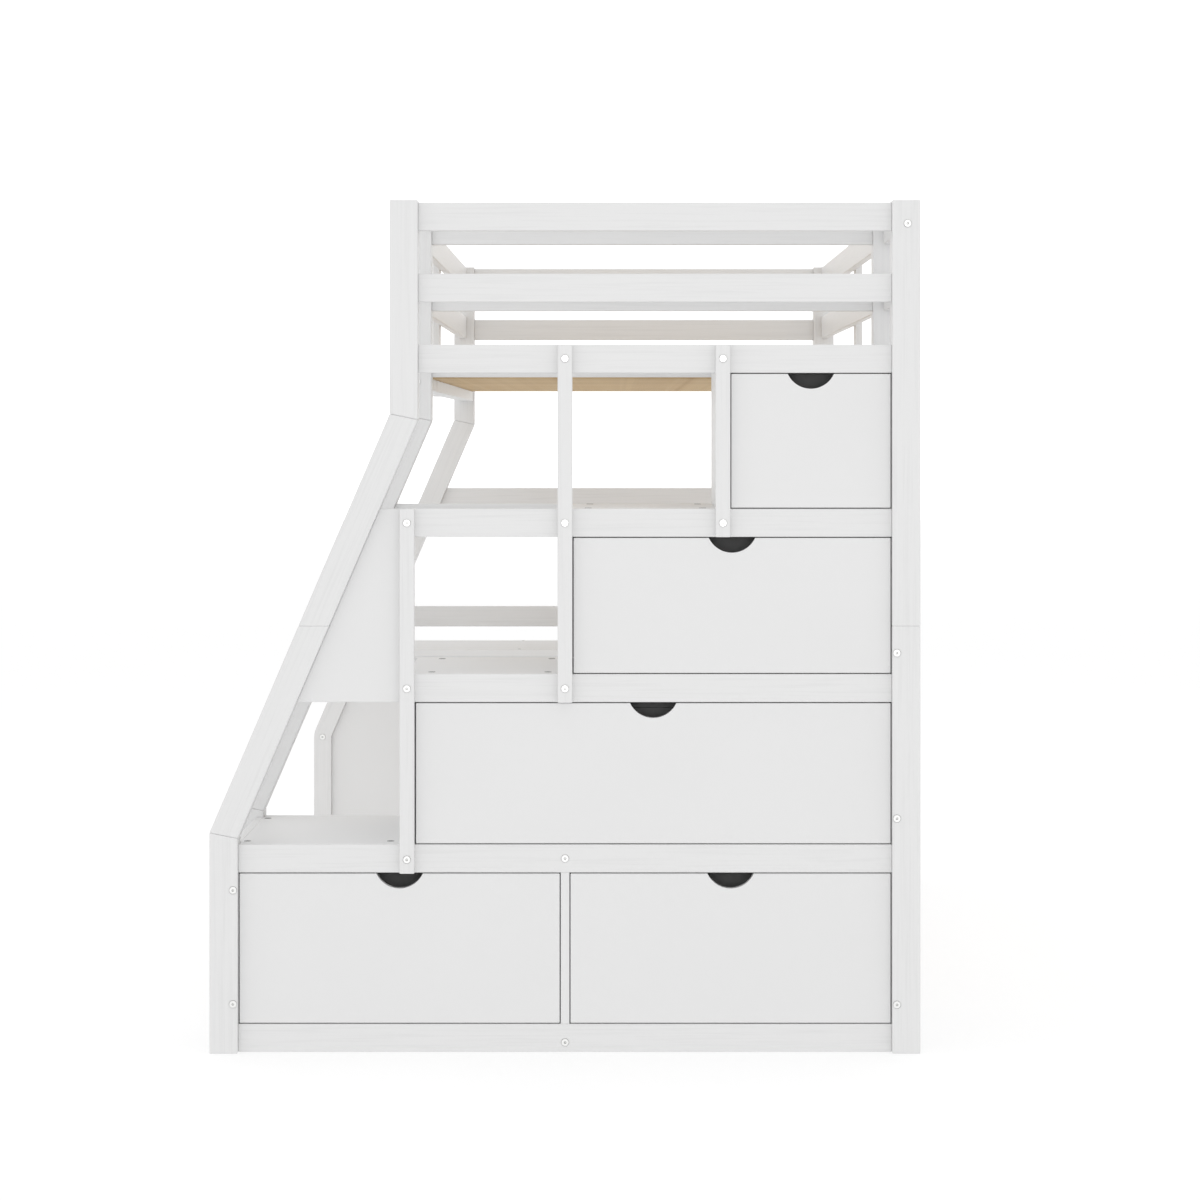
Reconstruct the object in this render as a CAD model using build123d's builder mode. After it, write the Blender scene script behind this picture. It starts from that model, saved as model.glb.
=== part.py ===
"""Loft bed with a storage staircase across its foot end, in millimetres.

X runs across the bed, Y along it from the staircase to the head end, and Z up from the floor.
The origin is on the floor, in the middle of the footprint.
"""
import os
from math import atan, cos, degrees, sin, tan

from build123d import *

os.makedirs("parts", exist_ok=True)

# Overall size: three upright frames stand one behind the other
base_width = 1448
top_width = 1081
overall_height = 1739
stair_pitch = 454
bed_pitch = 1990

# Timber sections
post = 57
rail_height = 57.5
rail_thickness = 21
panel = 18
back_panel = 9
edge_ease = 1.2
glue_line = 0.3

# The left leg: where it leaves the upright, and where its sections part
bend_low = 450
bend_high = 1303
split_level = 871

# Heights of the walking surfaces and of the guard rails' top edges
first_step = 424
second_step = 772
third_step = 1109.5
landing = 1444.5
guard_middle = 1589.5
guard_top = 1735

# Staircase
step_run = 322
batten_width = 30
panel_floor_gap = 10

# Long sides of the bed
side_inset = 17
side_board = 18
side_rail_height = 87
side_guard_height = 62
side_guard_middle = 1598
side_guard_top = 1738
side_batten_width = 57
ledger_width = 19
ledger_height = 27
stretcher_height = 87

# Slats
slat_count = 14
slat_width = 80
slat_thickness = 18
slat_end_margin = 30
slat_side_gap = 0.5

# Case at the head end
case_depth = 371
case_leg = 47
case_bend_radius = 65
case_top = 676
case_top_overhang = 4
case_bearer = 21
case_bearer_height = 40

# Drawers
drawer_front = 18
front_gap = 2
drawer_side_gap = 5
drawer_board = 12
drawer_bottom = 6
bottom_lift = 8
slide_gap = 0.5
stop_gap = 0.5
box_drop = 48
notch_width = 95
notch_depth = 30.5

# Bolts and pins
head_radius = 7.6
head_proud = 1.2
seat_depth = 2
seat_gap = 0.6
shank_radius = 3.2
shank_gap = 0.3
socket_width = 5
socket_depth = 2.2
post_bolt_grip = 34
batten_bolt_margin = 5
pin_radius = 5
pin_gap = 0.2
pin_length = 60
left_panel_bolts = (101, 333)
right_panel_bolts = (100, 479, 816)
landing_guard_bolt = 1691
side_rail_bolt = 1377
slope_bolts = (633, 835)
foot_slope_bolt = 588
case_side_bolt = 420
case_face_bolt = 438

# Worked out from the sizes above
total_length = stair_pitch + bed_pitch + post
right_face = base_width / 2
left_face = -base_width / 2
left_top = right_face - top_width
right_inner = right_face - post
left_inner = left_face + post
rail_recess = (post - rail_thickness) / 2
stair_y = -total_length / 2
foot_y = stair_y + stair_pitch
head_y = foot_y + bed_pitch
frames = {"stair": stair_y, "foot": foot_y, "head": head_y}
rail_front = stair_y + rail_recess
rail_back = rail_front + rail_thickness
stair_back = foot_y + rail_recess
bed_start = foot_y + post
case_y = head_y - case_depth
bearer_top = rail_height - panel
lean = atan((left_top - left_face) / (bend_high - bend_low))
half = panel / 2


# Left leg geometry
def leg_x(z, inset):
    """X at height z of the line that runs inside the leg's outer edge by inset."""
    slanted = left_face + inset / cos(lean) + tan(lean) * (z - bend_low)
    return min(max(slanted, left_face + inset), left_top + inset)


def mitre(bend, near, far, shift):
    """Heights where the mitre at a bend crosses the leg's near and far edges."""
    return bend - near * tan(lean / 2) + shift, bend - far * tan(lean / 2) + shift


def leg_outline(start, stop, near, far):
    """Outline of a stretch of leg between two cuts, each a height at the near and far edge."""
    return [
        (leg_x(start[0], near), start[0]),
        (leg_x(stop[0], near), stop[0]),
        (leg_x(stop[1], far), stop[1]),
        (leg_x(start[1], far), start[1]),
    ]


# Shapes that are drawn in the part being built
def plate(points, y, thickness):
    """Plate with an outline in X and Z, from the plane at y towards the head end."""
    with BuildSketch(Plane.XZ.offset(-y)) as outline:
        with BuildLine():
            Polyline(*points, close=True)
        make_face()
    extrude(outline.sketch, amount=-thickness)


def plank(x, y, z):
    """Straight board between the low and high values given for each direction."""
    with BuildSketch(Plane.XY.offset(z[0])) as outline:
        with Locations(((x[0] + x[1]) / 2, (y[0] + y[1]) / 2)):
            Rectangle(x[1] - x[0], y[1] - y[0])
    extrude(outline.sketch, amount=z[1] - z[0])


def cross_member(bottom, top, y, thickness, left=None):
    """Rail or panel across a frame, cut to the leg's slope unless its left end is given."""
    low_left = leg_x(bottom, post) if left is None else left
    high_left = leg_x(top, post) if left is None else left
    plate([(low_left, bottom), (right_inner, bottom), (right_inner, top), (high_left, top)], y, thickness)


def rail(top, frame_y, left=None):
    """Rail whose top edge is at the height given, set back in its frame."""
    cross_member(top - rail_height, top, frame_y + rail_recess, rail_thickness, left)


def upright(x, floor, rail_bottom, ceiling):
    """Board on edge under a step, notched to reach the front between two rails."""
    with BuildSketch(Plane.YZ.offset(x - half)) as outline:
        with BuildLine():
            Polyline(
                (rail_front, floor),
                (rail_front, rail_bottom),
                (rail_back, rail_bottom),
                (rail_back, ceiling),
                (stair_back, ceiling),
                (stair_back, floor),
                close=True,
            )
        make_face()
    extrude(outline.sketch, amount=panel)


# Bolts: each place is a plane on the wood's surface that faces out, with the bolt's length
def place(x, y, z, out):
    return Plane(origin=(x, y, z), z_dir=out)


def rail_centre(top):
    return top - rail_height / 2


def bolt_places():
    """Every bolt in the bed, as a plane at its head and the depth that it reaches."""
    places = []
    back = (0, -1, 0)
    front_reach = rail_recess + rail_thickness - batten_bolt_margin
    post_reach = post + post_bolt_grip
    for x, levels in battens.items():
        for top in levels:
            places.append((place(x, stair_y, rail_centre(top), back), front_reach))
    places.append((place(0, rail_front, rail_centre(first_step), back), rail_thickness + post_bolt_grip))
    places.append((place(0, rail_front, bearer_top / 2, back), rail_thickness + post_bolt_grip))
    for z in left_panel_bolts:
        places.append((place(left_inner - half, stair_y, z, back), post_reach))
    for z in right_panel_bolts:
        places.append((place(right_inner + half, stair_y, z, back), post_reach))
    places.append((place(right_face - side_inset - side_board / 2, stair_y, landing_guard_bolt, back), post_reach))
    for x in (left_top + side_inset + side_board / 2, right_face - side_inset - side_board / 2):
        places.append((place(x, foot_y, side_rail_bolt, back), post_reach))
        places.append((place(x, head_y + post, side_rail_bolt, (0, 1, 0)), post_reach))
    for y in frames.values():
        middle = y + post / 2
        for top in (rail_height, first_step, second_step, third_step, landing, guard_top):
            places.append((place(right_face, middle, rail_centre(top), (1, 0, 0)), post_reach))
        for top in (rail_height, first_step, landing, guard_top):
            x = leg_x(rail_centre(top), 0)
            places.append((place(x, middle, rail_centre(top), (-1, 0, 0)), post_reach))
    outwards = (-cos(lean), 0, sin(lean))
    low, high = slope_bolts
    stair_middle = stair_y + post / 2
    places.append((place(leg_x(low, 0), stair_middle, low, outwards), post - batten_bolt_margin))
    places.append((place(leg_x(high, 0), stair_middle, high, outwards), post_reach))
    inwards = (cos(lean), 0, -sin(lean))
    foot_place = place(leg_x(foot_slope_bolt, post), foot_y + post / 2, foot_slope_bolt, inwards)
    places.append((foot_place, post - batten_bolt_margin))
    inset = (post - case_leg) / 2
    case_reach = case_leg - batten_bolt_margin
    places.append((place(left_face + inset, case_y + case_leg / 2, case_side_bolt, (-1, 0, 0)), case_reach))
    places.append((place(left_face + post / 2, case_y, case_face_bolt, back), case_reach))
    return places


def drill(piece):
    """Sink the bolts' seats and clear their shanks in the part being built."""
    box = piece.part.bounding_box()
    hole = shank_radius + shank_gap
    seat = head_radius + seat_gap
    for plane, reach in all_bolts:
        tip = plane.origin - plane.z_dir * reach
        spans = zip(tuple(plane.origin), tuple(tip), tuple(box.min), tuple(box.max))
        if all(max(a, b) + hole > low and min(a, b) - hole < high for a, b, low, high in spans):
            with Locations(plane):
                Cylinder(hole, reach, align=(Align.CENTER, Align.CENTER, Align.MAX), mode=Mode.SUBTRACT)
                Cylinder(seat, 2 * seat_depth, mode=Mode.SUBTRACT)


def finish(piece, label):
    """Name a finished piece and write it."""
    piece.part.label = label
    export_step(piece.part, f"parts/{label}.step")


battens = {
    -step_run: (first_step, second_step, third_step),
    0: (second_step, third_step, landing),
    step_run: (third_step, landing),
}
all_bolts = bolt_places()
flat_split = (split_level, split_level)
flat_floor = (0, 0)
flat_top = (overall_height, overall_height)


# Legs and posts of the three frames, each with a lower and an upper section
def bore_pin(x, y):
    """Hole for the pin that joins a lower and an upper section."""
    with Locations((x, y, split_level)):
        Cylinder(pin_radius + pin_gap, pin_length + 2 * pin_gap, mode=Mode.SUBTRACT)


pin_x = (leg_x(split_level, post / 2), right_face - post / 2)
for name, y in frames.items():
    with BuildPart() as leg_lower:
        plate(leg_outline(flat_floor, mitre(bend_low, 0, post, 0), 0, post), y, post)
        plate(leg_outline(mitre(bend_low, 0, post, glue_line), flat_split, 0, post), y, post)
        chamfer(leg_lower.edges(), edge_ease)
        bore_pin(pin_x[0], y + post / 2)
        drill(leg_lower)
    finish(leg_lower, f"{name}_leg_lower")

    with BuildPart() as leg_upper:
        plate(leg_outline(flat_split, mitre(bend_high, 0, post, 0), 0, post), y, post)
        plate(leg_outline(mitre(bend_high, 0, post, glue_line), flat_top, 0, post), y, post)
        chamfer(leg_upper.edges(), edge_ease)
        bore_pin(pin_x[0], y + post / 2)
        drill(leg_upper)
    finish(leg_upper, f"{name}_leg_upper")

    for section, z in {"lower": (0, split_level), "upper": (split_level, overall_height)}.items():
        with BuildPart() as straight_post:
            plank((right_inner, right_face), (y, y + post), z)
            chamfer(straight_post.edges(), edge_ease)
            bore_pin(pin_x[1], y + post / 2)
            drill(straight_post)
        finish(straight_post, f"{name}_post_{section}")

with BuildPart() as frame_pins:
    with Locations(*[(x, y + post / 2, split_level) for x in pin_x for y in frames.values()]):
        Cylinder(pin_radius, pin_length)
    chamfer(frame_pins.edges().filter_by(GeomType.CIRCLE), edge_ease)
finish(frame_pins, "frame_pins")

# Rails across the frames
step_left = -step_run - half
for name, y in frames.items():
    with BuildPart() as guard_rails:
        rail(guard_middle, y)
        rail(guard_top, y)
        chamfer(guard_rails.edges(), edge_ease)
        drill(guard_rails)
    finish(guard_rails, f"{name}_guard_rails")

    with BuildPart() as bed_rail:
        rail(landing, y)
        chamfer(bed_rail.edges(), edge_ease)
        drill(bed_rail)
    finish(bed_rail, f"{name}_bed_rail")

for label, top, left in (
    ("stair_floor_rail", rail_height, None),
    ("stair_rail_1", first_step, None),
    ("stair_rail_2", second_step, step_left),
    ("stair_rail_3", third_step, step_left),
):
    with BuildPart() as stair_rail:
        rail(top, stair_y, left)
        chamfer(stair_rail.edges(), edge_ease)
        drill(stair_rail)
    finish(stair_rail, label)

for name in ("foot", "head"):
    with BuildPart() as lower_rails:
        for top in (rail_height, first_step, second_step, third_step):
            rail(top, frames[name])
        chamfer(lower_rails.edges(), edge_ease)
        drill(lower_rails)
    finish(lower_rails, f"{name}_lower_rails")

# Battens over the front rails, and the guard panel beside the second step
with BuildPart() as front_battens:
    for x, levels in battens.items():
        width = (x - batten_width / 2, x + batten_width / 2)
        plank(width, (stair_y, rail_front), (levels[0] - rail_height, levels[-1]))
    chamfer(front_battens.edges(), edge_ease)
    drill(front_battens)
finish(front_battens, "battens")

with BuildPart() as guard_panel:
    bottom = second_step - rail_height
    corners = [
        (leg_x(bottom, post), bottom),
        (step_left, bottom),
        (step_left, third_step),
        (leg_x(third_step, post), third_step),
    ]
    plate(corners, rail_front, panel)
    chamfer(guard_panel.edges(), edge_ease)
    drill(guard_panel)
finish(guard_panel, "guard_panel")

# Boards on edge: the divider between the lower drawers, three risers and the floor bearer
with BuildPart() as uprights:
    upright(0, rail_height, first_step - rail_height, first_step - panel)
    upright(-step_run, first_step, second_step - rail_height, second_step - panel)
    upright(0, second_step, third_step - rail_height, third_step - panel)
    upright(step_run, third_step, landing - rail_height, landing - panel)
    plank((-half, half), (rail_back, stair_back), (0, bearer_top))
    chamfer(uprights.edges(), edge_ease)
    drill(uprights)
finish(uprights, "uprights")

# Side panels stand between the posts of the stair frame and the foot frame
side_span = (stair_y + post, foot_y)
with BuildPart() as left_side_panel:
    plank((left_inner - panel, left_inner), side_span, (panel_floor_gap, first_step))
    chamfer(left_side_panel.edges(), edge_ease)
    drill(left_side_panel)
finish(left_side_panel, "left_side_panel")

with BuildPart() as right_side_panels:
    width = (right_inner, right_inner + panel)
    plank(width, side_span, (panel_floor_gap, split_level - glue_line))
    plank(width, side_span, (split_level, landing))
    chamfer(right_side_panels.edges(), edge_ease)
    drill(right_side_panels)
finish(right_side_panels, "right_side_panels")

# Level boards, which are the floors of the drawers' spaces and the treads of the steps
for label, left, top in (
    ("floor_board", left_inner, rail_height),
    ("step_board_1", left_inner, first_step),
    ("step_board_2", step_left, second_step),
    ("step_board_3", -half, third_step),
    ("landing_board", step_run - half, landing),
):
    with BuildPart() as level_board:
        plank((left, right_inner), (rail_back, stair_back), (top - panel, top))
        chamfer(level_board.edges(), edge_ease)
    finish(level_board, label)

# Drawer spaces: left wall, right wall, floor, and lower edge of the rail above
spaces = {
    "lower_left": (left_inner, -half, rail_height, first_step - rail_height),
    "lower_right": (half, right_inner, rail_height, first_step - rail_height),
    "long": (-step_run + half, right_inner, first_step, second_step - rail_height),
    "middle": (half, right_inner, second_step, third_step - rail_height),
    "top": (step_run + half, right_inner, third_step, landing - rail_height),
}

# The batten that each drawer has to pass on its left, where one stands in front of its space
passed_battens = {"long": -step_run, "middle": 0, "top": step_run}
with BuildPart() as back_panels:
    for left, right, floor, rail_bottom in spaces.values():
        ceiling = rail_bottom + rail_height - panel
        plank((left, right), (stair_back - back_panel, stair_back), (floor, ceiling))
    chamfer(back_panels.edges(), edge_ease)
finish(back_panels, "back_panels")


# Drawers, which slide out over the rail in front of them
def cut_notch(x, top):
    """Round finger notch in the top edge of a drawer's front."""
    radius = (notch_width**2 / 4 + notch_depth**2) / (2 * notch_depth)
    with BuildSketch(Plane.XZ.offset(-rail_front)) as outline:
        with Locations((x, top - notch_depth + radius)):
            Circle(radius)
    extrude(outline.sketch, amount=-drawer_front, mode=Mode.SUBTRACT)


for name, (left, right, floor, rail_bottom) in spaces.items():
    if name in passed_battens:
        left = passed_battens[name] + batten_width / 2
    front_top = rail_bottom - front_gap
    front_back = rail_front + drawer_front
    with BuildPart() as drawer_face:
        plank((left + front_gap, right - front_gap), (rail_front, front_back), (floor + front_gap, front_top))
        chamfer(drawer_face.edges(), edge_ease)
        cut_notch((left + right) / 2, front_top)
    finish(drawer_face, f"{name}_drawer_front")

    outer = (left + drawer_side_gap, right - drawer_side_gap)
    inner = (outer[0] + drawer_board, outer[1] - drawer_board)
    box_back = stair_back - back_panel - stop_gap
    inside_back = box_back - drawer_board
    height = (floor + slide_gap, front_top - box_drop)
    tray = height[0] + bottom_lift
    with BuildPart() as drawer_box:
        plank((outer[0], inner[0]), (front_back, box_back), height)
        plank((inner[1], outer[1]), (front_back, box_back), height)
        fitted = (inner[0] + glue_line, inner[1] - glue_line)
        plank(fitted, (inside_back, box_back), height)
        plank(fitted, (front_back, inside_back - glue_line), (tray, tray + drawer_bottom))
        chamfer(drawer_box.edges(), edge_ease / 2)
    finish(drawer_box, f"{name}_drawer_box")

# Long sides: the same boards on both sides of the bed
side_walls = {
    "left": (left_top + side_inset, left_top + side_inset + side_board),
    "right": (right_face - side_inset - side_board, right_face - side_inset),
}
for name, wall in side_walls.items():
    with BuildPart() as side_guards:
        for top in (side_guard_middle, side_guard_top):
            plank(wall, (bed_start, head_y), (top - side_guard_height, top))
        chamfer(side_guards.edges(), edge_ease)
    finish(side_guards, f"{name}_guard_rails")

with BuildPart() as side_rails:
    for wall in side_walls.values():
        plank(wall, (bed_start, head_y), (landing - side_rail_height, landing))
    chamfer(side_rails.edges(), edge_ease)
    drill(side_rails)
finish(side_rails, "side_rails")

ledger_top = landing - side_rail_height + ledger_height
ledger_left = side_walls["left"][1]
ledger_right = side_walls["right"][0]
with BuildPart() as ledgers:
    heights = (ledger_top - ledger_height, ledger_top)
    plank((ledger_left, ledger_left + ledger_width), (bed_start, head_y), heights)
    plank((ledger_right - ledger_width, ledger_right), (bed_start, head_y), heights)
    chamfer(ledgers.edges(), edge_ease)
finish(ledgers, "ledgers")

batten_middle = (bed_start + head_y) / 2
batten_span = (batten_middle - side_batten_width / 2, batten_middle + side_batten_width / 2)
with BuildPart() as side_battens:
    heights = (landing - side_rail_height, side_guard_top)
    plank((left_top, left_top + side_inset), batten_span, heights)
    plank((right_face - side_inset, right_face), batten_span, heights)
    chamfer(side_battens.edges(), edge_ease)
finish(side_battens, "side_battens")

with BuildPart() as landing_guards:
    for top in (guard_middle, guard_top):
        plank(side_walls["right"], side_span, (top - rail_height, top))
    chamfer(landing_guards.edges(), edge_ease)
    drill(landing_guards)
finish(landing_guards, "landing_guard_rails")

with BuildPart() as stretcher:
    plank(side_walls["right"], (bed_start, case_y), (first_step - stretcher_height, first_step))
    chamfer(stretcher.edges(), edge_ease)
finish(stretcher, "stretcher")

# Slats, evenly spaced between the foot frame and the head frame
slat_first = bed_start + slat_end_margin
slat_pitch = (head_y - slat_end_margin - slat_width - slat_first) / (slat_count - 1)
with BuildPart() as slats:
    for index in range(slat_count):
        start = slat_first + index * slat_pitch
        across = (ledger_left + slat_side_gap, ledger_right - slat_side_gap)
        plank(across, (start, start + slat_width), (ledger_top, ledger_top + slat_thickness))
    chamfer(slats.edges(), edge_ease)
finish(slats, "slats")

# Case at the head end, open to the outside between the head frame's rails
leg_inset = (post - case_leg) / 2
case_edges = (leg_inset, leg_inset + case_leg)
case_ceiling = case_top - panel
outer_bend, inner_bend = mitre(bend_low, *case_edges, 0)
straight = (right_face - leg_inset - case_leg, right_face - leg_inset)
with BuildPart() as case_legs:
    corners = [
        (leg_x(0, case_edges[0]), 0),
        (leg_x(outer_bend, case_edges[0]), outer_bend),
        (leg_x(case_ceiling, case_edges[0]), case_ceiling),
        (leg_x(case_ceiling, case_edges[1]), case_ceiling),
        (leg_x(inner_bend, case_edges[1]), inner_bend),
        (leg_x(0, case_edges[1]), 0),
    ]
    plate(corners, case_y, case_leg)
    bend_point = (leg_x(outer_bend, case_edges[0]), case_y, outer_bend)
    fillet(case_legs.edges().filter_by(Axis.Y).sort_by_distance(bend_point)[0], case_bend_radius)
    plank(straight, (case_y, case_y + case_leg), (0, case_ceiling))
    end_edges = case_legs.edges().filter_by(Axis.Y).group_by(Axis.Z)
    chamfer(case_legs.faces().filter_by(Axis.Y).edges() + end_edges[0] + end_edges[-1], edge_ease)
    drill(case_legs)
finish(case_legs, "case_legs")

case_panel_y = case_y + (case_leg - panel) / 2
with BuildPart() as case_panel:
    far_edge = case_edges[1]
    corners = [
        (leg_x(0, far_edge), 0),
        (leg_x(0, far_edge), inner_bend),
        (leg_x(case_ceiling, far_edge), case_ceiling),
        (straight[0], case_ceiling),
        (straight[0], 0),
    ]
    plate(corners, case_panel_y, panel)
    chamfer(case_panel.edges(), edge_ease)
finish(case_panel, "case_panel")

with BuildPart() as case_lid:
    across = (leg_x(case_top, leg_inset) - case_top_overhang, straight[1])
    plank(across, (case_y - case_top_overhang, head_y), (case_ceiling, case_top))
    chamfer(case_lid.edges(), edge_ease)
finish(case_lid, "case_top_board")

case_inside = (case_panel_y + panel, head_y + rail_recess)
with BuildPart() as case_boards:
    for top in (rail_height, first_step):
        plank((left_inner, right_inner), case_inside, (top - panel, top))
    for low, high in ((left_inner - panel, left_inner), (right_inner, right_inner + panel)):
        plank((low + glue_line, high - glue_line), (case_y + case_leg, head_y), (panel_floor_gap, first_step))
    heights = (case_ceiling - case_bearer_height, case_ceiling)
    plank((leg_x(heights[0], leg_inset), straight[1]), (head_y - case_bearer, head_y), heights)
    chamfer(case_boards.edges(), edge_ease)
finish(case_boards, "case_boards")

# Bolts with a flat round head and a hexagonal socket
with BuildPart() as one_bolt:
    with Locations((0, 0, -seat_depth)):
        Cylinder(head_radius, seat_depth + head_proud, align=(Align.CENTER, Align.CENTER, Align.MIN))
    chamfer(one_bolt.edges().sort_by(Axis.Z)[-1], edge_ease / 2)
    with BuildSketch(Plane.XY.offset(head_proud)):
        RegularPolygon(socket_width / 2, 6, major_radius=False)
    extrude(amount=-socket_depth, mode=Mode.SUBTRACT)

with BuildPart() as bolts:
    for plane, reach in all_bolts:
        with Locations(plane):
            add(one_bolt.part)
        with Locations(plane.offset(-seat_depth)):
            Cylinder(shank_radius, reach - seat_depth - shank_gap, align=(Align.CENTER, Align.CENTER, Align.MAX))
finish(bolts, "bolts")

print(f"lean {degrees(lean):.2f} degrees, {len(all_bolts)} bolts")
print(f"slat gap {slat_pitch - slat_width:.1f}, length {total_length}")
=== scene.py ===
import math
import random

import bmesh
import bpy
from mathutils import Matrix, Vector


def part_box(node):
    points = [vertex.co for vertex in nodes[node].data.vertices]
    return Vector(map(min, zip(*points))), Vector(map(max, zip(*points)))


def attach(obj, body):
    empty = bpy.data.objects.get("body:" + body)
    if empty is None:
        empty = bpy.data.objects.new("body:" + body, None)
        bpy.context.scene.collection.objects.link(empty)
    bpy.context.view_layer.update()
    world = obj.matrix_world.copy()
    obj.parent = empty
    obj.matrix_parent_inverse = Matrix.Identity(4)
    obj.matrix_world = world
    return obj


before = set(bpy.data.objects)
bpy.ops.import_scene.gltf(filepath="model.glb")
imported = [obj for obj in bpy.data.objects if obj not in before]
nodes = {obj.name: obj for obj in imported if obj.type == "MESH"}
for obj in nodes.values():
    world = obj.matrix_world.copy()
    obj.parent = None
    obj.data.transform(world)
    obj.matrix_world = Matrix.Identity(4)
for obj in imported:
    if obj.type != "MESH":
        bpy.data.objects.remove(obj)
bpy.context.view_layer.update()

# Places read from the frame, in metres
stair_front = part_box("stair_post_lower")[0].y
leg_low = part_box("stair_leg_lower")[0]
upper_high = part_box("stair_leg_upper")[1]
post_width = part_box("stair_post_lower")[1].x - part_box("stair_post_lower")[0].x

# The left legs' outline, for grain that follows the bends
bend_height = 0.450
upper_bend_height = 1.303
leg_run = upper_high.x - post_width - leg_low.x
leg_slope = leg_run / (upper_bend_height - bend_height)

# The slats, and where the small fasteners sit
slat_count = 14
slat_width = 0.080
slat_screw_inset = 0.009
slat_screw_rows = (0.020, 0.060)
step_cam_rows = (0.070, 0.438)
case_screw_columns = (-0.480, -0.160, 0.160, 0.480)
bearer_half_depth = 0.0105
rail_back_face = 0.039
rail_levels = (0.02875, 0.39525, 0.74325, 1.08075, 1.41575, 1.70625)
nut_inset = 0.083
drawer_side = 0.012
drawer_cam_depth = 0.034
drawer_cam_above_bottom = 0.060
drawer_cam_below_top = 0.050

# Albedo of the paint, the drawers' boards and the pine
paint_albedo = 0.733
board_albedo = 0.85
pine_light = (0.598, 0.445, 0.255)
pine_middle = (0.552, 0.398, 0.220)
pine_dark = (0.466, 0.315, 0.161)

# The studio: albedo and glow of its floor and wall, and the strength of its lights
floor_base = 0.45
floor_glow = 0.56
wall_glow = 0.9
wall_radius = 38
wall_height = 8.5
world_strength = 0.85
front_watts = 25
front_light_size = 0.6
front_light_behind_eye = 0.2
top_watts = 60
top_light_size = 6.0
top_light_height = 5.0


# Camera: the photograph looks straight at the stair end, from a point right of the middle
photo_pixels = 1200
eye_pixel_x = 616
eye_pixel_y = 436
millimetres_per_pixel = 2.036
eye_distance = 6.130
eye_x = 0.104
eye_height = 1.258
sensor_width = 36.0


def add_camera():
    data = bpy.data.cameras.new("photo_camera")
    data.sensor_width = sensor_width
    data.lens = sensor_width * eye_distance * 1000 / (millimetres_per_pixel * photo_pixels)
    data.shift_x = (photo_pixels / 2 - eye_pixel_x) / photo_pixels
    data.shift_y = (eye_pixel_y - photo_pixels / 2) / photo_pixels
    data.clip_end = 100
    camera = bpy.data.objects.new("photo_camera", data)
    camera.location = (eye_x, stair_front - eye_distance, eye_height)
    camera.rotation_euler = (math.radians(90), 0, 0)
    bpy.context.scene.collection.objects.link(camera)
    bpy.context.scene.camera = camera


# Node helper: sockets may be given as values or as another node's output
def put(tree, kind, sockets=None, **settings):
    made = tree.nodes.new("ShaderNode" + kind)
    for key, value in settings.items():
        setattr(made, key, value)
    for key, value in (sockets or {}).items():
        if isinstance(value, bpy.types.NodeSocket):
            tree.links.new(value, made.inputs[key])
        else:
            made.inputs[key].default_value = value
    return made


def new_material(name):
    material = bpy.data.materials.new(name)
    material.use_nodes = True
    tree = material.node_tree
    tree.nodes.clear()
    shader = put(tree, "BsdfPrincipled")
    output = put(tree, "OutputMaterial")
    tree.links.new(shader.outputs["BSDF"], output.inputs["Surface"])
    return material, tree, shader


def maths(tree, operation, first, second=0.0, third=0.0):
    return put(tree, "Math", {0: first, 1: second, 2: third}, operation=operation).outputs[0]


def ramp(tree, factor, stops):
    made = put(tree, "ValToRGB", {"Fac": factor})
    while len(made.color_ramp.elements) < len(stops):
        made.color_ramp.elements.new(0.5)
    for element, (position, colour) in zip(made.color_ramp.elements, stops):
        element.position = position
        element.color = (*colour, 1)
    return made.outputs["Color"]


def multiplied(tree, first, second):
    sockets = {"Factor": 1.0, "A": first, "B": second}
    return put(tree, "Mix", sockets, data_type="RGBA", blend_type="MULTIPLY").outputs[2]


def stretched(tree, direction, along, across):
    """Object coordinates scaled so that a noise runs in lines along the grain's direction."""
    place = put(tree, "TexCoord").outputs["Object"]
    if direction == "leg":
        parts = put(tree, "SeparateXYZ", {0: place}).outputs
        risen = maths(tree, "SUBTRACT", parts["Z"], bend_height)
        lean = maths(tree, "MULTIPLY", risen, leg_slope)
        held = put(tree, "Clamp", {"Value": lean, "Min": 0.0, "Max": leg_run}).outputs[0]
        upright = maths(tree, "SUBTRACT", parts["X"], held)
        place = put(tree, "CombineXYZ", {0: upright, 1: parts["Y"], 2: parts["Z"]}).outputs[0]
        direction = "z"
    scale = {"x": (along, across, across), "y": (across, along, across), "z": (across, across, along)}[direction]
    return put(tree, "Mapping", {"Vector": place, "Scale": scale}).outputs[0]


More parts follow.
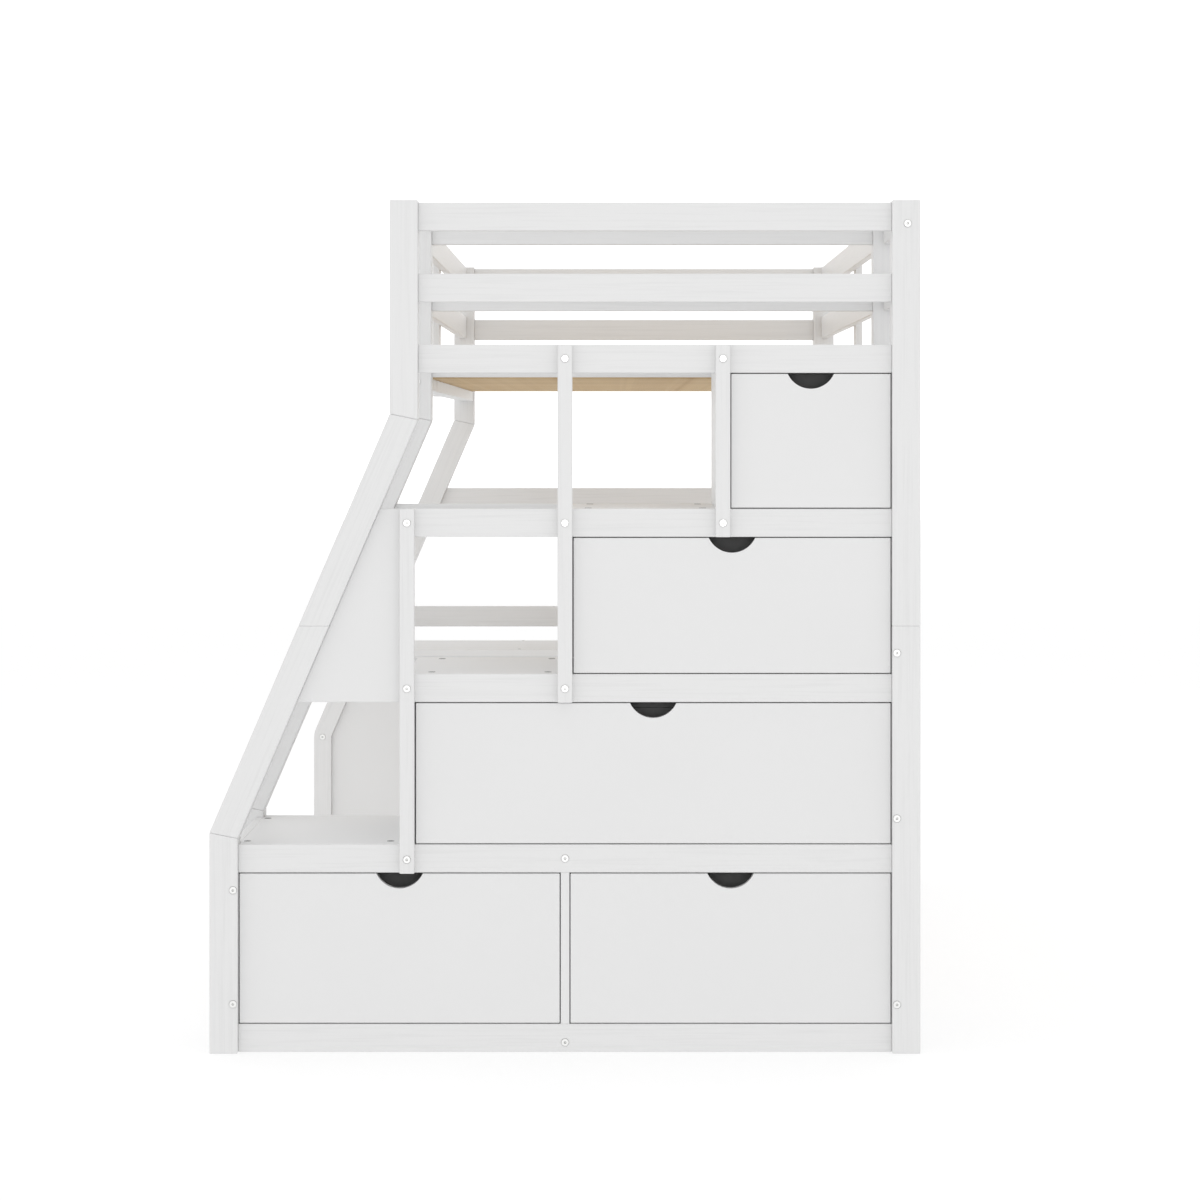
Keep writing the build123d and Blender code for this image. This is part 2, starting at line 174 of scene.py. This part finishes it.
# Painted timber: brushed satin paint over pine, whose grain shows through as faint lines
def painted(name, direction, colour=(paint_albedo,) * 3):
    material, tree, shader = new_material(name)
    place = put(tree, "TexCoord").outputs["Object"]
    grain = put(tree, "TexNoise", {
        "Vector": stretched(tree, direction, 5.0, 190.0),
        "Scale": 1.0, "Detail": 5.0, "Roughness": 0.55, "Distortion": 0.4,
    }).outputs["Fac"]
    cloud = put(tree, "TexNoise", {"Vector": place, "Scale": 2.6, "Detail": 2.0}).outputs["Fac"]
    peel = put(tree, "TexNoise", {"Vector": place, "Scale": 900.0, "Detail": 1.0}).outputs["Fac"]
    shaded = [c * 0.955 for c in colour]
    base = ramp(tree, grain, [(0.30, shaded), (0.52, colour), (1.0, [c * 1.01 for c in colour])])
    veil = ramp(tree, cloud, [(0.0, (1.0, 1.0, 1.0)), (1.0, (0.984, 0.984, 0.983))])
    tree.links.new(multiplied(tree, base, veil), shader.inputs["Base Color"])
    rough = put(tree, "MapRange", {"Value": grain, "To Min": 0.36, "To Max": 0.50}).outputs[0]
    tree.links.new(rough, shader.inputs["Roughness"])
    height = maths(tree, "MULTIPLY_ADD", grain, 0.8, maths(tree, "MULTIPLY", peel, 0.12))
    bump = put(tree, "Bump", {"Height": height, "Strength": 0.22, "Distance": 0.0006})
    tree.links.new(bump.outputs[0], shader.inputs["Normal"])
    return material


# Painted board: sprayed panels, smooth but for the paint's fine orange peel
def sprayed(name, colour=(paint_albedo,) * 3, roughness=(0.40, 0.48)):
    material, tree, shader = new_material(name)
    place = put(tree, "TexCoord").outputs["Object"]
    cloud = put(tree, "TexNoise", {"Vector": place, "Scale": 3.5, "Detail": 3.0}).outputs["Fac"]
    peel = put(tree, "TexNoise", {"Vector": place, "Scale": 520.0, "Detail": 2.0}).outputs["Fac"]
    base = ramp(tree, cloud, [(0.25, [c * 0.985 for c in colour]), (0.75, colour)])
    tree.links.new(base, shader.inputs["Base Color"])
    rough = put(tree, "MapRange", {"Value": peel, "To Min": roughness[0], "To Max": roughness[1]}).outputs[0]
    tree.links.new(rough, shader.inputs["Roughness"])
    bump = put(tree, "Bump", {"Height": peel, "Strength": 0.10, "Distance": 0.0003})
    tree.links.new(bump.outputs[0], shader.inputs["Normal"])
    return material


# Bare pine: broad bands that line up from slat to slat, growth lines and fibres that don't
def bare_pine(name, slat_pitch, first_slat):
    material, tree, shader = new_material(name)
    place = put(tree, "TexCoord").outputs["Object"]
    parts = put(tree, "SeparateXYZ", {0: place}).outputs
    counted = maths(tree, "DIVIDE", maths(tree, "SUBTRACT", parts["Y"], first_slat), slat_pitch)
    index = maths(tree, "FLOOR", counted)
    chance = put(tree, "TexWhiteNoise", {"W": index}, noise_dimensions="1D")
    spread_by = {0: chance.outputs["Color"], 1: (7.0, 3.0, 5.0)}
    shift = put(tree, "VectorMath", spread_by, operation="MULTIPLY").outputs[0]
    moved = put(tree, "VectorMath", {0: place, 1: shift}, operation="ADD").outputs[0]
    bands = put(tree, "TexNoise", {
        "W": parts["X"], "Scale": 13.0, "Detail": 2.0, "Roughness": 0.6, "Distortion": 0.6,
    }, noise_dimensions="1D").outputs["Fac"]
    lines = put(tree, "Mapping", {"Vector": moved, "Scale": (1.1, 26.0, 26.0)}).outputs[0]
    figure = put(tree, "TexWave", {
        "Vector": lines, "Scale": 1.0, "Distortion": 5.5, "Detail": 3.0, "Detail Scale": 0.8,
    }, wave_type="BANDS", bands_direction="Y").outputs["Fac"]
    fibre = put(tree, "TexNoise", {
        "Vector": put(tree, "Mapping", {"Vector": moved, "Scale": (9.0, 420.0, 420.0)}).outputs[0],
        "Scale": 1.0, "Detail": 4.0,
    }).outputs["Fac"]
    broad = ramp(tree, bands, [
        (0.30, pine_dark), (0.42, pine_middle), (0.55, pine_light), (0.72, pine_middle),
    ])
    narrow = ramp(tree, figure, [
        (0.0, (1.0, 1.0, 1.0)), (0.6, (0.97, 0.96, 0.94)), (0.93, (0.88, 0.85, 0.80)),
    ])
    streak = ramp(tree, fibre, [(0.3, (0.92, 0.90, 0.88)), (0.7, (1.0, 1.0, 1.0))])
    both = multiplied(tree, multiplied(tree, broad, narrow), streak)
    tone = put(tree, "MapRange", {"Value": chance.outputs["Value"], "To Min": 0.95, "To Max": 1.04}).outputs[0]
    toned = put(tree, "HueSaturation", {"Color": both, "Value": tone})
    tree.links.new(toned.outputs[0], shader.inputs["Base Color"])
    rough = put(tree, "MapRange", {"Value": fibre, "To Min": 0.5, "To Max": 0.68}).outputs[0]
    tree.links.new(rough, shader.inputs["Roughness"])
    height = maths(tree, "MULTIPLY_ADD", figure, 0.3, fibre)
    bump = put(tree, "Bump", {"Height": height, "Strength": 0.3, "Distance": 0.0005})
    tree.links.new(bump.outputs[0], shader.inputs["Normal"])
    return material


# Metal: fine grit in the plating, with painted shade in the sockets and round the rims, where ambient occlusion
# darkens the colour
def plated(name, pale, dull, roughness):
    material, tree, shader = new_material(name)
    place = put(tree, "TexCoord").outputs["Object"]
    grit = put(tree, "TexNoise", {"Vector": place, "Scale": 1500.0, "Detail": 3.0}).outputs["Fac"]
    cloud = put(tree, "TexNoise", {"Vector": place, "Scale": 60.0, "Detail": 2.0}).outputs["Fac"]
    mixed = maths(tree, "MULTIPLY_ADD", grit, 0.6, maths(tree, "MULTIPLY", cloud, 0.4))
    base = ramp(tree, mixed, [(0.25, dull), (0.75, pale)])
    # Painted shade: the colour goes dark where ambient occlusion finds the sockets and the gaps round the rims
    occlusion_for_shade = put(tree, "AmbientOcclusion", {"Distance": 0.003}, samples=8).outputs["AO"]
    painted_shade = ramp(tree, occlusion_for_shade, [(0.30, (0.16, 0.16, 0.155)), (0.80, (1.0, 1.0, 1.0))])
    tree.links.new(multiplied(tree, base, painted_shade), shader.inputs["Base Color"])
    rough = put(tree, "MapRange", {"Value": mixed, "To Min": roughness[0], "To Max": roughness[1]}).outputs[0]
    tree.links.new(rough, shader.inputs["Roughness"])
    shader.inputs["Metallic"].default_value = 1.0
    bump = put(tree, "Bump", {"Height": grit, "Strength": 0.15, "Distance": 0.0002})
    tree.links.new(bump.outputs[0], shader.inputs["Normal"])
    return material


def dress(names, material):
    for name in names:
        cad = nodes[name]
        cad.data.materials.clear()
        cad.data.materials.append(material)


def dress_all():
    drawers = [name for name in nodes if name.endswith("_drawer_front")]
    boxes = [name for name in nodes if name.endswith("_drawer_box")]
    legs = [name for name in nodes if "_leg_" in name] + ["case_legs"]
    standing = [name for name in nodes if "_post_" in name] + ["battens", "side_battens"]
    lengthwise = ["left_guard_rails", "right_guard_rails", "landing_guard_rails"]
    lengthwise += ["side_rails", "ledgers", "stretcher"]
    panels = drawers + ["guard_panel", "uprights", "left_side_panel", "right_side_panels"]
    panels += ["back_panels", "case_panel"]
    boards = ["floor_board", "landing_board", "case_top_board", "case_boards"]
    boards += [f"step_board_{number}" for number in (1, 2, 3)]
    special = legs + standing + lengthwise + panels + boards + boxes + ["slats", "bolts", "frame_pins"]
    across = [name for name in nodes if name not in special]
    slat_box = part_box("slats")
    pitch = (slat_box[1].y - slat_box[0].y - slat_width) / (slat_count - 1)
    dress(legs, painted("paint_leg_grain", "leg"))
    dress(standing, painted("paint_upright_grain", "z"))
    dress(lengthwise, painted("paint_lengthwise_grain", "y"))
    dress(across, painted("paint_crosswise_grain", "x"))
    dress(panels, sprayed("sprayed_panel"))
    dress(boards, sprayed("sprayed_board"))
    dress(boxes, sprayed("drawer_board", (board_albedo,) * 3, (0.5, 0.62)))
    dress(["slats"], bare_pine("bare_pine", pitch, slat_box[0].y))
    nickel = plated("satin_nickel", (0.86, 0.86, 0.85), (0.76, 0.76, 0.75), (0.28, 0.42))
    dress(["bolts", "frame_pins"], nickel)


# Fasteners: a round head with a bevelled rim and a sunk recess, copied to each place
def cross_outline(reach, width):
    """Corners of a cross recess, one after the other."""
    arm = [Vector((reach, -width)), Vector((reach, width)), Vector((width, width))]
    return [Matrix.Rotation(quarter * math.pi / 2, 2) @ corner for quarter in range(4) for corner in arm]


def slot_outline(reach, width):
    """Corners of a straight slot."""
    return [Vector(corner) for corner in ((reach, -width), (reach, width), (-reach, width), (-reach, -width))]


def head_mesh(radius, proud, bevel, recess, sunk=0.002, sides=32):
    """A closed head whose recess stops just above the wood's face, at Z 0."""
    edit = bmesh.new()
    rings = []
    for size, height in ((radius, -sunk), (radius, proud - bevel), (radius - bevel, proud)):
        turns = [math.tau * step / sides for step in range(sides)]
        rings.append([edit.verts.new((size * math.cos(turn), size * math.sin(turn), height)) for turn in turns])
    edit.faces.new(rings[0])
    for low, high in zip(rings, rings[1:]):
        for step in range(sides):
            edit.faces.new((low[step - 1], low[step], high[step], high[step - 1]))
    rim = [edit.edges.get((rings[-1][step - 1], rings[-1][step])) for step in range(sides)]
    lip = [edit.verts.new((*corner, proud)) for corner in recess]
    floor = [edit.verts.new((*(corner * 0.85), 0.0001)) for corner in recess]
    mouth = [edit.edges.new((lip[step - 1], lip[step])) for step in range(len(recess))]
    bmesh.ops.triangle_fill(edit, use_beauty=True, edges=rim + mouth)
    for step in range(len(recess)):
        edit.faces.new((lip[step - 1], lip[step], floor[step], floor[step - 1]))
    edit.faces.new(floor)
    bmesh.ops.recalc_face_normals(edit, faces=edit.faces)
    mesh = bpy.data.meshes.new("head")
    edit.to_mesh(mesh)
    edit.free()
    return mesh


def facing(point, out, draw):
    """Matrix at a point of the wood's face, its Z along the way out, turned by a drawn angle."""
    aim = Vector(out).to_track_quat("Z", "Y").to_matrix().to_4x4()
    return Matrix.Translation(point) @ aim @ Matrix.Rotation(draw.uniform(0, math.tau), 4, "Z")


def spread(name, head, places, material, body="root"):
    """One piece that holds a copy of the head at each place."""
    edit = bmesh.new()
    for place in places:
        before = len(edit.verts)
        edit.from_mesh(head)
        edit.verts.ensure_lookup_table()
        bmesh.ops.transform(edit, matrix=place, verts=edit.verts[before:])
    mesh = bpy.data.meshes.new(name)
    edit.to_mesh(mesh)
    edit.free()
    mesh.materials.append(material)
    piece = bpy.data.objects.new(name, mesh)
    bpy.context.scene.collection.objects.link(piece)
    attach(piece, body)


def add_fasteners():
    draw = random.Random(7)
    up, back, left, right = (0, 0, 1), (0, 1, 0), (-1, 0, 0), (1, 0, 0)
    # The zinc is darker than bare zinc: partly its own grey, partly painted shade that stands in for the shadow
    # in the cams' recesses
    shade_darkened_zinc = plated("cast_zinc", (0.46, 0.46, 0.46), (0.30, 0.30, 0.30), (0.42, 0.60))
    steel = plated("screw_steel", (0.66, 0.66, 0.65), (0.50, 0.50, 0.49), (0.30, 0.48))
    cam = head_mesh(0.0074, 0.0008, 0.0003, cross_outline(0.0044, 0.0009))
    screw = head_mesh(0.0040, 0.0007, 0.0003, cross_outline(0.0022, 0.0005))
    nut = head_mesh(0.0070, 0.0008, 0.0003, slot_outline(0.0052, 0.0008))

    # Cam locks in the step boards and the landing
    places = []
    for board, across in (
        ("step_board_1", (-0.655, -0.360)), ("step_board_2", (-0.275, -0.036)),
        ("step_board_3", (0.047, 0.282)), ("landing_board", (0.369, 0.639)),
    ):
        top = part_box(board)[1].z
        places += [facing((x, stair_front + y, top), up, draw) for x in across for y in step_cam_rows]
    spread("tread_cams", cam, places, shade_darkened_zinc)

    # Screws through the case's top board, into its front panel and its rear bearer
    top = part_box("case_top_board")[1].z
    panel_front, panel_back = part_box("case_panel")
    rows = ((panel_front.y + panel_back.y) / 2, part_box("head_post_lower")[0].y - bearer_half_depth)
    places = [facing((x, y, top), up, draw) for x in case_screw_columns for y in rows]
    spread("case_top_screws", screw, places, steel)

    # Screws through both ends of each slat, into the ledgers
    low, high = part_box("slats")
    places = []
    for count in range(slat_count):
        start = low.y + count * (high.y - low.y - slat_width) / (slat_count - 1)
        for x in (low.x + slat_screw_inset, high.x - slat_screw_inset):
            places += [facing((x, start + y, high.z), up, draw) for y in slat_screw_rows]
    spread("slat_screws", screw, places, steel)

    # Barrel nuts of the frames' bolts, in the rails' back faces
    places = []
    for frame_name, right_levels, left_low, left_high in (
        ("foot", rail_levels, rail_levels[:2], rail_levels[-2:]),
        ("head", rail_levels, rail_levels[:2], rail_levels[-2:]),
        ("stair", rail_levels[-1:], (), rail_levels[-1:]),
    ):
        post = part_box(f"{frame_name}_post_lower")[0]
        face = post.y + rail_back_face
        low_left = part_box(f"{frame_name}_leg_lower")[0].x + post_width
        high_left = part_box(f"{frame_name}_leg_upper")[1].x
        spots = [(post.x - nut_inset, level) for level in right_levels]
        spots += [(low_left + nut_inset, level) for level in left_low]
        spots += [(high_left + nut_inset, level) for level in left_high]
        places += [facing((x, face, level), back, draw) for x, level in spots]
    spread("barrel_nuts", nut, places, shade_darkened_zinc)

    # Cam locks that hold each drawer's front to its sides
    for name in sorted(nodes):
        if name.endswith("_drawer_box"):
            low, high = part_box(name)
            places = []
            for x, out in ((low.x + drawer_side, right), (high.x - drawer_side, left)):
                levels = (low.z + drawer_cam_above_bottom, high.z - drawer_cam_below_top)
                places += [facing((x, low.y + drawer_cam_depth, z), out, draw) for z in levels]
            spread(name.replace("_box", "_cams"), cam, places, shade_darkened_zinc, name.replace("_box", ""))


# Room: a pale floor and a pale wall far round it, which shine a little as an overlit studio does
def add_staged(name, edit, glow):
    mesh = bpy.data.meshes.new(name)
    edit.to_mesh(mesh)
    edit.free()
    thing = bpy.data.objects.new(name, mesh)
    bpy.context.scene.collection.objects.link(thing)
    material, tree, shader = new_material(name)
    place = put(tree, "TexCoord").outputs["Object"]
    speck = put(tree, "TexNoise", {"Vector": place, "Scale": 0.6, "Detail": 2.0}).outputs["Fac"]
    tones = ramp(tree, speck, [(0.3, (floor_base * 0.99,) * 3), (0.7, (floor_base,) * 3)])
    tree.links.new(tones, shader.inputs["Base Color"])
    shader.inputs["Roughness"].default_value = 0.9
    shader.inputs["Emission Color"].default_value = (1, 1, 1, 1)
    shader.inputs["Emission Strength"].default_value = glow
    mesh.materials.append(material)


def add_light(name, shape, size, watts, location, tilt):
    data = bpy.data.lights.new(name, "AREA")
    data.shape = shape
    data.size = size
    data.energy = watts
    light = bpy.data.objects.new(name, data)
    light.location = location
    light.rotation_euler = (math.radians(tilt), 0, 0)
    light.visible_camera = False
    bpy.context.scene.collection.objects.link(light)


def add_room():
    edit = bmesh.new()
    bmesh.ops.create_grid(edit, x_segments=8, y_segments=8, size=40)
    add_staged("studio_floor", edit, floor_glow)

    edit = bmesh.new()
    sides = 96
    turns = [math.tau * step / sides for step in range(sides)]
    low, high = [
        [edit.verts.new((wall_radius * math.cos(turn), wall_radius * math.sin(turn), height)) for turn in turns]
        for height in (-0.1, wall_height)
    ]
    for step in range(sides):
        edit.faces.new((low[step], low[step - 1], high[step - 1], high[step]))
    add_staged("studio_wall", edit, wall_glow)

    world = bpy.data.worlds.new("studio")
    world.use_nodes = True
    background = world.node_tree.nodes["Background"]
    background.inputs["Color"].default_value = (1, 1, 1, 1)
    background.inputs["Strength"].default_value = world_strength
    bpy.context.scene.world = world
    front_light_y = stair_front - eye_distance - front_light_behind_eye
    add_light("front_light", "DISK", front_light_size, front_watts, (eye_x, front_light_y, eye_height), 90)
    add_light("top_light", "SQUARE", top_light_size, top_watts, (0, 0, top_light_height), 0)


scene = bpy.context.scene
scene.view_settings.view_transform = "Standard"
add_camera()
dress_all()
add_fasteners()
add_room()
